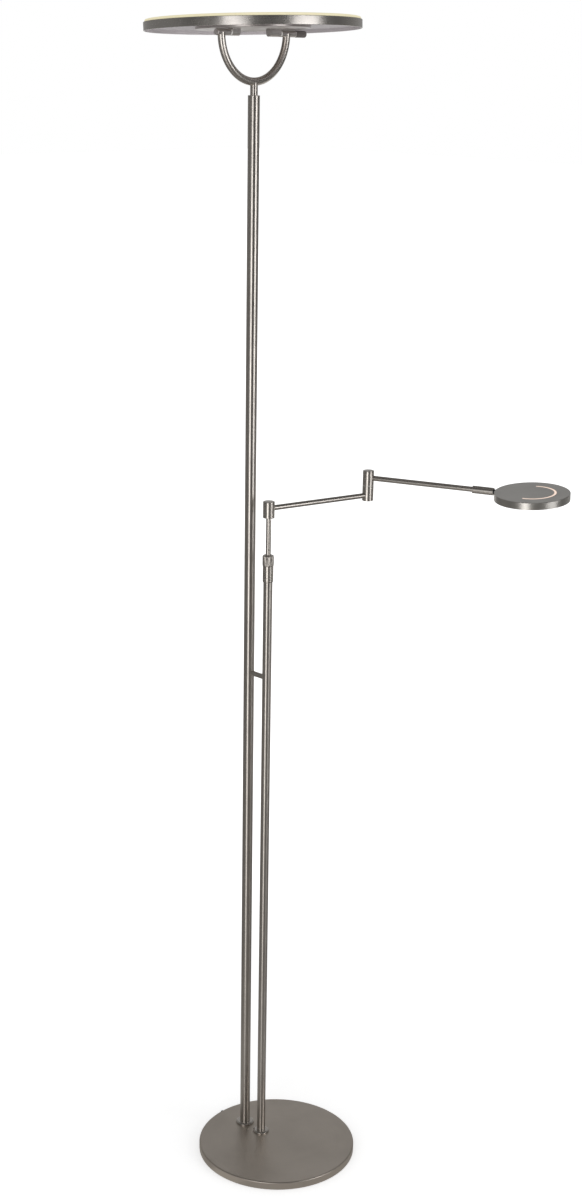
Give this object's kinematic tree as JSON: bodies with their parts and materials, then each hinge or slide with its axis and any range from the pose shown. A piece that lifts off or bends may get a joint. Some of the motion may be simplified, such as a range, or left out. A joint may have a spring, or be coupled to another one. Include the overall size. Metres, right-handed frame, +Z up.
{
  "type": "torchiere floor lamp with reading light",
  "caption": "Floor lamp with a tilting disc uplighter on a fork, and a small disc reading light on a swinging arm that slides on its own pole.",
  "frame": {"origin": "centre of the round base's underside, on the floor", "axes": "+Z up the poles, +X from the main pole towards the reader pole, +Y to the side where the reading arm is at rest"},
  "size_m": [0.6018, 0.5449, 2.017],
  "materials": {
    "satin_bronze": "satin",
    "satin_alloy": "satin",
    "cast_weight": "matte",
    "soft_pad": "matte",
    "black_plastic": "matte",
    "black_knob": "satin",
    "white_driver": "matte",
    "zinc_steel": "satin",
    "brass_fitting": "satin",
    "wire_sheath": "matte",
    "white_nylon": "satin",
    "light_board": "matte",
    "green_board": "matte",
    "opal_cover": "satin"
  },
  "bodies": {
    "stand": {"base_pad": "soft_pad", "base_weight": "cast_weight", "base_shell": "satin_bronze", "base_nipples": "brass_fitting", "base_washers": "zinc_steel", "base_lock_nuts": "zinc_steel", "cable_gland": "black_plastic", "led_driver": "white_driver", "main_foot_flange": "satin_bronze", "reader_foot_flange": "satin_bronze", "pole_inserts": "zinc_steel", "main_pole_lower": "satin_bronze", "pole_coupler": "zinc_steel", "main_pole_upper": "satin_bronze", "reader_pole": "satin_bronze", "cross_brace": "satin_bronze", "pole_wires": "wire_sheath", "dimmer_guide": "black_plastic", "dimmer_board": "green_board", "dimmer_carrier": "black_plastic", "pole_top_bush": "satin_bronze", "fork_stem": "satin_bronze", "fork": "satin_bronze", "fork_barrels": "satin_bronze", "reader_sleeve": "satin_bronze", "rod_collet": "white_nylon"},
    "upper_dimmer": {"upper_dimmer_button": "black_plastic"},
    "lower_dimmer": {"lower_dimmer_button": "black_plastic"},
    "uplight_head": {"uplight_rim": "satin_alloy", "uplight_pan": "satin_alloy", "hinge_plate": "satin_alloy", "plate_screws": "zinc_steel", "hinge_ears": "satin_bronze", "tilt_pins": "satin_bronze", "friction_washers": "white_nylon", "uplight_led_board": "light_board", "uplight_cover": "opal_cover"},
    "tilt_knob": {"tilt_knob": "black_knob"},
    "clamp_nut": {"clamp_nut": "satin_bronze"},
    "rod": {"reader_rod": "satin_bronze", "rod_bush": "white_nylon", "rod_screw": "zinc_steel"},
    "arm_1": {"knuckle": "satin_bronze", "knuckle_cap": "satin_bronze", "lower_arm": "satin_bronze", "elbow_lower": "satin_bronze", "elbow_screw": "zinc_steel", "elbow_spacer": "white_nylon"},
    "arm_2": {"elbow_upper": "satin_bronze", "elbow_cap": "satin_bronze", "upper_arm": "satin_bronze", "arm_end_sleeve": "satin_bronze", "neck_set_screw": "zinc_steel"},
    "reading_head": {"head_neck": "black_plastic", "neck_block": "zinc_steel", "reading_cap": "satin_alloy", "slot_window": "opal_cover", "reading_led_board": "light_board", "reading_cover": "opal_cover"}
  },
  "joints": [
    {"name": "uplight_tilt", "type": "hinge", "parent": "stand", "child": "uplight_head", "pos_m": [-0.089, 0, 1.9891], "axis": [0, 1, 0], "range_deg": [-42.5, 47.5]},
    {"name": "tilt_knob_turn", "type": "hinge", "parent": "uplight_head", "child": "tilt_knob", "pos_m": [-0.089, 0.1, 1.9891], "axis": [0, 1, 0], "range_deg": [0, 180]},
    {"name": "clamp_nut_turn", "type": "hinge", "parent": "stand", "child": "clamp_nut", "pos_m": [-0.0435, 0, 1.16], "axis": [0, 0, 1], "range_deg": [0, 180]},
    {"name": "reader_height", "type": "slide", "parent": "stand", "child": "rod", "axis": [0, 0, 1], "range_m": [-0.0645, 0.16]},
    {"name": "lower_arm_swing", "type": "hinge", "parent": "rod", "child": "arm_1", "pos_m": [-0.0435, 0, 1.2513], "axis": [0, 0, 1], "range_deg": [-239, 81]},
    {"name": "elbow_swing", "type": "hinge", "parent": "arm_1", "child": "arm_2", "pos_m": [-0.00387, 0.20388, 1.2687], "axis": [0, 0, 1], "range_deg": [-91.9, 208.1]},
    {"name": "reading_head_twist", "type": "hinge", "parent": "arm_2", "child": "reading_head", "pos_m": [0.20633, 0.28415, 1.2818], "axis": [0.9342, 0.3567, 0], "range_deg": [-94, 86]},
    {"name": "upper_dimmer_press", "type": "slide", "parent": "stand", "child": "upper_dimmer", "axis": [1, 0, 0], "range_m": [0, 0.0008], "stiffness_N_per_m": 500, "springref_m": -0.002},
    {"name": "lower_dimmer_press", "type": "slide", "parent": "stand", "child": "lower_dimmer", "axis": [1, 0, 0], "range_m": [0, 0.0008], "stiffness_N_per_m": 500, "springref_m": -0.002}
  ]
}
